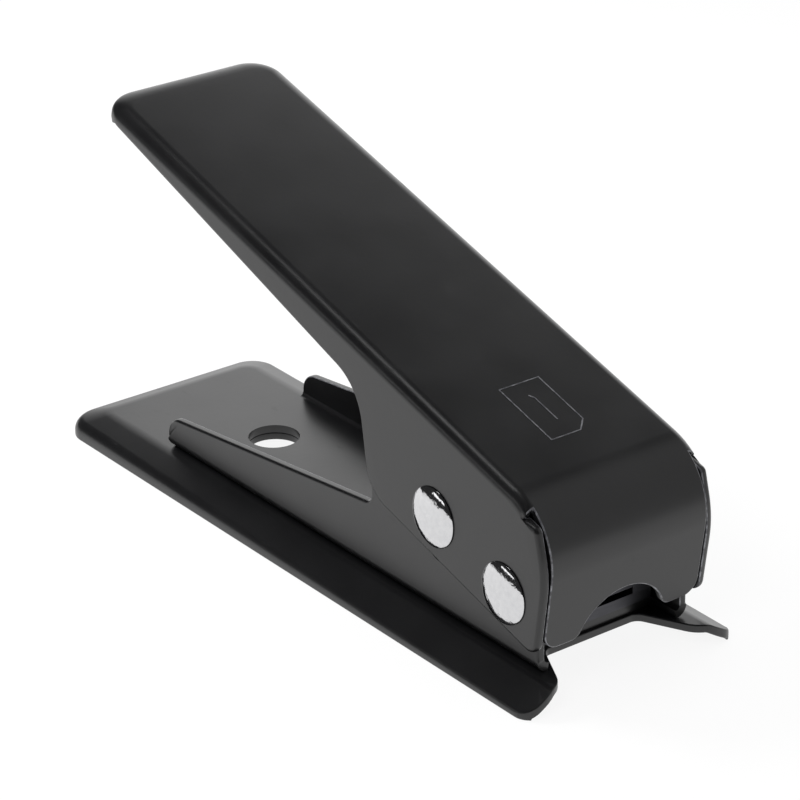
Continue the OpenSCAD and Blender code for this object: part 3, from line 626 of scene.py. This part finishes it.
def lever_rim(shoulder):
    """Bend along the lever's rim, from the left slit round the rear end to the right slit:
    (x, v, way inwards, top, drop, run)."""
    side, rear = LEVER_W / 2, LEVER_REAR - REAR_CORNER_R
    rim = [(-side, v, (1, 0), w, LEVER_EDGE_R, LEVER_EDGE_R) for v, w in reversed(shoulder)]
    rim.append((-side, rear, (1, 0), LEVER_TOP, REAR_DROP, REAR_SIDE_RUN))
    corner = (REAR_CORNER_R - side, rear)
    corner_steps = 16
    for i in range(1, corner_steps + 1):
        share = i / corner_steps
        angle = math.pi - share * math.pi / 2
        x, v = polar(corner, REAR_CORNER_R, angle)
        inwards = (-math.cos(angle), -math.sin(angle))
        ease = share * share * (3 - 2 * share)
        run = REAR_SIDE_RUN + (REAR_RUN - REAR_SIDE_RUN) * ease
        rim.append((x, v, inwards, LEVER_TOP, REAR_DROP, run))
    return rim + [(-x, v, (-way[0], way[1]), *bent) for x, v, way, *bent in reversed(rim)]


def lever_cheek():
    """Left cheek from its slit round its foot to the rear corner, in (v, w)."""
    brow, rear = LEVER_TOP - BROW_DROP, LEVER_REAR - REAR_CORNER_R
    return chain(
        (-RELIEF_V, brow),
        [
            (-BROW_V, brow, BROW_R),
            (flap_v(FRONT_BEND_W), FRONT_BEND_W, FRONT_BEND_R),
            (flap_v(-CHEEK_DROP), -CHEEK_DROP, TOE_R),
            (CHEEK_REAR, -CHEEK_DROP, HEEL_R),
            (CHEEK_TURN, flange_w(CHEEK_TURN), TURN_R),
        ],
        (rear, flange_w(rear)))


def make_lever():
    """Lever folded from one sheet: top, bent nose and flap, cheeks, side flanges and rear wall."""
    side = LEVER_W / 2
    nose_v = flap_v(LEVER_TOP) + NOSE_R / math.tan((math.pi / 2 + FLAP_LEAN) / 2)
    nose = (nose_v, LEVER_TOP - NOSE_R)
    relief_angle = math.acos((-RELIEF_V - nose_v) / NOSE_R)
    shoulder_steps, nose_steps, edge_steps = 4, 16, 9
    shoulder = arc(nose, NOSE_R, math.pi / 2, relief_angle, shoulder_steps)
    nose_rows = arc(nose, NOSE_R, relief_angle, math.pi - FLAP_LEAN, nose_steps)

    # Columns of the rim's bend, from the side up to the top; the last but one meets the flap's edge
    flap_edge = math.acos(1 - (side - FLAP_W / 2) / LEVER_EDGE_R)
    turns = [flap_edge * i / edge_steps for i in range(edge_steps + 1)] + [math.pi / 2]
    bend = []
    for x, v, way, top, drop, run in lever_rim(shoulder):
        column = []
        for turn in turns:
            inwards = run * (1 - math.cos(turn))
            rise = drop * math.sin(turn)
            column.append((x + way[0] * inwards, v + way[1] * inwards, top - drop + rise))
        bend.append(column)
    faces = []
    for a, b in zip(bend, bend[1:]):
        for i in range(len(turns) - 1):
            faces.append([a[i], b[i], b[i + 1], a[i + 1]])

    # Rear wall, and the top from the nose to the rear
    front_count = len(shoulder)
    feet = [column[0] for column in bend[front_count:-front_count]]
    columns = [(foot, (*foot[:2], flange_w(foot[1]))) for foot in feet]
    for a, b in zip(columns, columns[1:]):
        faces.append([a[0], b[0], b[1], a[1]])
    faces.append([column[-1] for column in bend[front_count - 1:len(bend) - front_count + 1]])
    for i in range(front_count - 1):
        faces.append([bend[i][-1], bend[-1 - i][-1], bend[-2 - i][-1], bend[i + 1][-1]])

    # Nose and flap
    half, top_half = FLAP_W / 2, side - LEVER_EDGE_R
    rows = [[bend[0][-2], bend[0][-1], bend[-1][-1], bend[-1][-2]]]
    rows += [[(x, v, w) for x in (-half, -top_half, top_half, half)] for v, w in nose_rows[1:]]
    for a, b in zip(rows, rows[1:]):
        for i in range(len(a) - 1):
            faces.append([a[i], a[i + 1], b[i + 1], b[i]])
    faces.append(rows[-1] + [(x, flap_v(w), w) for x, w in flap_foot()])

    # Cheeks with their side flanges
    for bends in (bend[:front_count + 1], bend[::-1][:front_count + 1]):
        x = bends[0][0][0]
        upper_edge = [column[0] for column in reversed(bends)]
        faces.append([(x, *point) for point in lever_cheek()] + upper_edge)

    placed = [[from_lever(*point) for point in face] for face in faces]
    lever = joined("folded_lever", placed, (0, 0, 1))
    # The cheeks' edges are rolled over outside; the others get a thin bevel in the pale edge finish, a
    # painted highlight line
    folded(lever, LEVER_T, (), [
        (lambda p, inside: p.x > side - SIDE_NEAR and not inside, LEVER_ROLL, ENAMEL),
        (lambda p, inside: p.x < side - SIDE_FAR, LEVER_LINE, EDGE)])
    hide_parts("lever")
    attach(lever, "lever")


# Card mark: a clipped card and a plain stroke standing in fine lines on the lever

def line_section(points, closed):
    """Plan points of a line's two foot edges and two crest edges, mitred at its corners."""
    points = [Vector(point) for point in points]
    if closed:
        before, after = points[-1], points[0]
    else:
        before, after = points[0] * 2 - points[1], points[-1] * 2 - points[-2]
    stops = [before, *points, after]
    foot = MARK_LINE / 2
    crest = foot / 3
    sides = []
    for offset in (-foot, -crest, crest, foot):
        edge = []
        for back, here, ahead in zip(stops, points, stops[2:]):
            a, b = (here - back).normalized(), (ahead - here).normalized()
            mitre = Vector((-a.y - b.y, a.x + b.x)).normalized()
            edge.append(here + mitre * offset / max(mitre.dot(Vector((-a.y, a.x))), MITRE_LEAST))
        sides.append(edge)
    return sides


def make_mark():
    """The mark as one mesh of low ridges on the top of the lever."""
    card = clipped_card(MARK_W, MARK_LEN, MARK_CLIP)
    stroke = [(STROKE_X, STROKE_FRONT), (STROKE_X, STROKE_REAR), (STROKE_TIP_X, STROKE_TIP)]
    levels = (-MARK_RISE, MARK_RISE, MARK_RISE, -MARK_RISE)
    faces = []
    for points, closed in ((card, True), (stroke, False)):
        edges = [
            [from_lever(MARK_X + p.x, MARK_V + p.y, LEVER_TOP + level) for p in edge]
            for edge, level in zip(line_section(points, closed), levels)
        ]
        count = len(points)
        for i in range(count if closed else count - 1):
            j = (i + 1) % count
            for a, b in zip(edges, edges[1:] + edges[:1]):
                faces.append([a[i], a[j], b[j], b[i]])
        if not closed:
            faces += [[edge[end] for edge in edges] for end in (0, -1)]
    mark = joined("card_mark", faces, (0, 0, 1))
    mark.data.materials.append(EDGE)
    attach(mark, "lever")


# Rivets

def rivet_place(v, w, side):
    """Lays a turned profile across the lever, on an axis through a point of its frame."""
    _, y, z = from_lever(0, v, w)
    return lambda along, a, b: (side * along, y + a, z + b)


def head_profile():
    """Dome over a short upright rim, from its middle to the cheek."""
    foot, head_r = LEVER_W / 2, RIVET_HEAD_D / 2
    dome_steps = 20
    points = []
    for i in range(dome_steps + 1):
        share = math.sin(math.pi / 2 * i / dome_steps)
        rise = (RIVET_HEAD_H - RIVET_RIM_H) * (1 - share ** 2) ** DOME_POWER
        points.append((foot + RIVET_RIM_H + rise, head_r * share))
    return points + [(foot + RIVET_CHAMFER_H, head_r), (foot, head_r - RIVET_CHAMFER)]


def make_rivets():
    """Headed rivets through both cheeks, and the caps on their far ends."""
    cheek = LEVER_W / 2
    shank = [(cheek, RIVET_D / 2), (-cheek, RIVET_D / 2), (-cheek, 0)]
    headed, capped = (head_profile() + shank)[::-1], (head_profile() + [(cheek, 0)])[::-1]
    for name, v, w in (("pivot", 0, 0), ("drive", DRIVE_V, DRIVE_W)):
        rivet = turned(f"{name}_rivet_head", headed, rivet_place(v, w, -1))
        cap = turned(f"{name}_rivet_end", capped, rivet_place(v, w, 1))
        for piece, node in ((rivet, f"{name}_rivet"), (cap, f"{name}_rivet_cap")):
            piece.data.materials.append(CHROME)
            smooth(piece, RIVET_ANGLE)
            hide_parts(node)
            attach(piece, "lever")


# Return springs

def spring_tree():
    """Coil springs on the points of a mesh: closed end turns, open turns between them."""
    tree = bpy.data.node_groups.new("coil_springs", "GeometryNodeTree")
    face = tree.interface
    face.new_socket("Posts", in_out="INPUT", socket_type="NodeSocketGeometry")
    for name in ("Wire", "Coil", "Length", "Turns"):
        face.new_socket(name, in_out="INPUT", socket_type="NodeSocketFloat")
    face.new_socket("Springs", in_out="OUTPUT", socket_type="NodeSocketGeometry")
    given = add(tree, "NodeGroupInput").outputs
    wire, turns = given["Wire"], given["Turns"]

    # The turn that a point of the wire lies on, and how far it is through each part of the coil
    along = add(tree, "GeometryNodeSplineParameter").outputs["Factor"]
    turn = add(tree, "ShaderNodeMath", {0: along, 1: turns}, operation="MULTIPLY")
    last = add(tree, "ShaderNodeMath", {0: turns, 1: 1.0}, operation="SUBTRACT")
    foot_turn = add(tree, "ShaderNodeMapRange", {"Value": turn, "From Min": 0.0, "From Max": 1.0})
    open_turns = add(tree, "ShaderNodeMapRange", {"Value": turn, "From Min": 1.0, "From Max": last})
    head_turn = add(tree, "ShaderNodeMapRange", {"Value": turn, "From Min": last, "From Max": turns})

    # A closed turn rises by one wire, and half a wire lies under the first and over the last
    half_wire = add(tree, "ShaderNodeMath", {0: wire, 1: 0.5}, operation="MULTIPLY")
    ends = add(tree, "ShaderNodeMath", {0: foot_turn, 1: head_turn}, operation="ADD")
    room = add(tree, "ShaderNodeMath", {0: wire, 1: -3.0, 2: given["Length"]}, operation="MULTIPLY_ADD")
    rise = add(tree, "ShaderNodeMath", {0: open_turns, 1: room, 2: half_wire}, operation="MULTIPLY_ADD")
    height = add(tree, "ShaderNodeMath", {0: ends, 1: wire, 2: rise}, operation="MULTIPLY_ADD")

    angle = add(tree, "ShaderNodeMath", {0: turn, 1: 2 * math.pi}, operation="MULTIPLY")
    width = add(tree, "ShaderNodeMath", {0: given["Coil"], 1: wire}, operation="SUBTRACT")
    radius = add(tree, "ShaderNodeMath", {0: width, 1: 0.5}, operation="MULTIPLY")
    place = {"Z": height}
    for axis, wave in (("X", "COSINE"), ("Y", "SINE")):
        share = add(tree, "ShaderNodeMath", {0: angle}, operation=wave)
        place[axis] = add(tree, "ShaderNodeMath", {0: share, 1: radius}, operation="MULTIPLY")
    spot = add(tree, "ShaderNodeCombineXYZ", place)

    line = add(tree, "GeometryNodeCurvePrimitiveLine")
    fine = add(tree, "GeometryNodeResampleCurve", {
        "Curve": line, "Count": int(SPRING_TURNS * TURN_STEPS) + 1})
    coil = add(tree, "GeometryNodeSetPosition", {"Geometry": fine, "Position": spot})
    section = add(tree, "GeometryNodeCurvePrimitiveCircle", {
        "Resolution": WIRE_SIDES, "Radius": half_wire})
    tube = add(tree, "GeometryNodeCurveToMesh", {
        "Curve": coil, "Profile Curve": section, "Fill Caps": True})
    stood = add(tree, "GeometryNodeInstanceOnPoints", {"Points": given["Posts"], "Instance": tube})
    real = add(tree, "GeometryNodeRealizeInstances", {"Geometry": stood})
    drawn = add(tree, "GeometryNodeSetMaterial", {"Geometry": real, "Material": SPRING_WIRE})
    add(tree, "NodeGroupOutput", {"Springs": drawn})
    return tree


def make_springs():
    """Springs round the guide posts, built as they stand at rest; the real ones shorten when the punch
    goes down.
    """
    mesh = bpy.data.meshes.new("return_coils")
    seats = [(x * MM, y * MM, SPRING_SEAT * MM) for x in (-POST_X, POST_X) for y in POST_YS]
    mesh.from_pydata(seats, [], [])
    springs = object_of("return_coils", mesh)
    wound = springs.modifiers.new("wound", "NODES")
    wound.node_group = spring_tree()
    sizes = {
        "Wire": WIRE_D * MM, "Coil": SPRING_D * MM, "Length": SPRING_LEN * MM, "Turns": SPRING_TURNS}
    for item in wound.node_group.interface.items_tree:
        if item.name in sizes:
            wound[item.identifier] = sizes[item.name]
    settle(springs)
    smooth(springs, COIL_ANGLE)
    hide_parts("return_springs")
    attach(springs, "base")
    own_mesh(springs)


# Die parts keep their CAD shapes

def clad(material, *nodes):
    """Gives nodes of the frame their material."""
    for node in nodes:
        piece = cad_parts[node]
        piece.data.materials.clear()
        piece.data.materials.append(material)


# Studio

def white_table(colour, glow):
    """Diffuse white that a straight look, a reflection or a see-through ray finds nearly full white."""
    made, tree = new_material("white_table")
    ray = add(tree, "ShaderNodeLightPath").outputs
    seen = ray["Is Camera Ray"]
    for kind in ("Is Glossy Ray", "Is Transmission Ray"):
        seen = add(tree, "ShaderNodeMath", {0: seen, 1: ray[kind]}, operation="MAXIMUM")
    share = add(tree, "ShaderNodeMath", {0: seen, 1: glow}, operation="MULTIPLY")
    matt = add(tree, "ShaderNodeBsdfDiffuse", {"Color": linear(colour)})
    white = add(tree, "ShaderNodeEmission", {"Color": (1, 1, 1, 1), "Strength": 1.0})
    mixed = add(tree, "ShaderNodeMixShader", {0: share, 1: matt, 2: white})
    add(tree, "ShaderNodeOutputMaterial", {"Surface": mixed})
    return made


def panel(name, corners, material):
    """One flat face of the studio."""
    mesh = bpy.data.meshes.new(name)
    mesh.from_pydata([[c * MM for c in corner] for corner in corners], [], [tuple(range(len(corners)))])
    made = object_of(name, mesh)
    mesh.materials.append(material)
    return made


def lamp(name, place, aim, width, height, glow, shows=True):
    """Area lamp of a given brightness; shows says whether shiny faces mirror it."""
    light = bpy.data.lights.new(name, "AREA")
    light.shape = "RECTANGLE"
    light.size = width * MM
    light.size_y = height * MM
    light.energy = glow * math.pi * light.size * light.size_y
    made = object_of(name, light)
    made.location = Vector(place) * MM
    made.rotation_euler = (Vector(aim) - Vector(place)).to_track_quat("-Z", "Y").to_euler()
    made.visible_glossy = shows


def cloth(name, left, right, height, glow, fade_left, fade_right, fade_top):
    """White cloth standing on the table beside the object, out of the camera's sight; it is lit by no
    lamp but glows by itself as a soft light.
    The fades are the shares of it over which it dims towards its edges."""
    made, tree = new_material(name)
    spot = add(tree, "ShaderNodeSeparateXYZ", {"Vector": add(tree, "ShaderNodeUVMap")}).outputs
    bright = glow
    for axis, edge, inside in (("X", 0, fade_left), ("X", 1, 1 - fade_right), ("Y", 1, 1 - fade_top)):
        share = add(tree, "ShaderNodeMapRange", {
            "Value": spot[axis], "From Min": edge, "From Max": inside}, interpolation_type="SMOOTHSTEP")
        bright = add(tree, "ShaderNodeMath", {0: share, 1: bright}, operation="MULTIPLY")
    light = add(tree, "ShaderNodeEmission", {"Strength": bright})
    add(tree, "ShaderNodeOutputMaterial", {"Surface": light})
    wall = panel(name, [(*left, 0), (*right, 0), (*right, height), (*left, height)], made)
    marks = wall.data.uv_layers.new(name="across").data
    for corner, mark in zip(((0, 0), (1, 0), (1, 1), (0, 1)), marks):
        mark.uv = corner
    wall.visible_camera = False
    wall.visible_shadow = False


def make_studio():
    """White table, two glowing cloths that light the object and that the enamel mirrors, lamps and a
    little air light.
    """
    far = 2500
    panel("floor", [(-far, -far, 0), (far, -far, 0), (far, far, 0), (-far, far, 0)],
          white_table("#f2f2f2", glow=0.9))
    cloth("rear_cloth", left=(0, 209), right=(206, -36), height=195, glow=1.45,
          fade_left=0.3, fade_right=0.05, fade_top=0.56)
    cloth("side_cloth", left=(310, 60), right=(20, -340), height=560, glow=0.5,
          fade_left=0.3, fade_right=0.05, fade_top=0.3)
    lamp("key", place=(-520, -260, 640), aim=(0, 0, 15), width=420, height=420, glow=5.0, shows=False)
    lamp("top", place=(120, 150, 900), aim=(0, 0, 10), width=700, height=700, glow=2.4, shows=False)
    lamp("pool", place=(-120, 190, 220), aim=(-100, 150, 0), width=120, height=120, glow=22.0,
         shows=False)
    lamp("overhead", place=(-60, 80, 430), aim=(0, 0, 20), width=110, height=110, glow=3.0)
    lamp("strip", place=(-348, 99, 140), aim=(-14, -38, 16), width=280, height=50, glow=1.6)

    world = bpy.data.worlds.new("studio_air")
    bpy.context.scene.world = world
    world.use_nodes = True
    tree = world.node_tree
    tree.nodes.clear()
    air = add(tree, "ShaderNodeBackground", {"Color": linear("#b4b4b6"), "Strength": 0.06})
    add(tree, "ShaderNodeOutputWorld", {"Surface": air})


def make_camera():
    """Long lens that looks down on the front and the left side, rolled a little."""
    place, aim = Vector((-250.0, -335.8, 218.0)), Vector((6.52, 3.4, 16.93))
    roll = math.radians(-0.66)
    ahead = (aim - place).normalized()
    right = ahead.cross(Vector((0, 0, 1))).normalized()
    up = right.cross(ahead)
    right, up = (
        right * math.cos(roll) + up * math.sin(roll),
        up * math.cos(roll) - right * math.sin(roll),
    )
    lens = bpy.data.cameras.new("photo_camera")
    lens.sensor_width = 36
    lens.lens = 149.6
    lens.clip_start, lens.clip_end = 0.01, 20
    camera = object_of("photo_camera", lens)
    turn = Matrix((right, up, -ahead)).transposed().to_4x4()
    camera.matrix_world = Matrix.Translation(place * MM) @ turn
    bpy.context.scene.camera = camera


make_camera()
make_studio()
make_base()
make_channel()
make_lever()
make_mark()
make_rivets()
make_springs()
clad(GROUND_STEEL, "punch", "guide_posts")
clad(ZINC_PLATE, "stack_screws", "punch_screws", "pivot_bush", "pivot_washers", "drive_bush")
clad(OILED_STEEL, "die_plate", "card_guide_left", "card_guide_right", "card_stop",
     "stripper_plate", "punch_holder")
bpy.context.scene.view_settings.view_transform = "Standard"
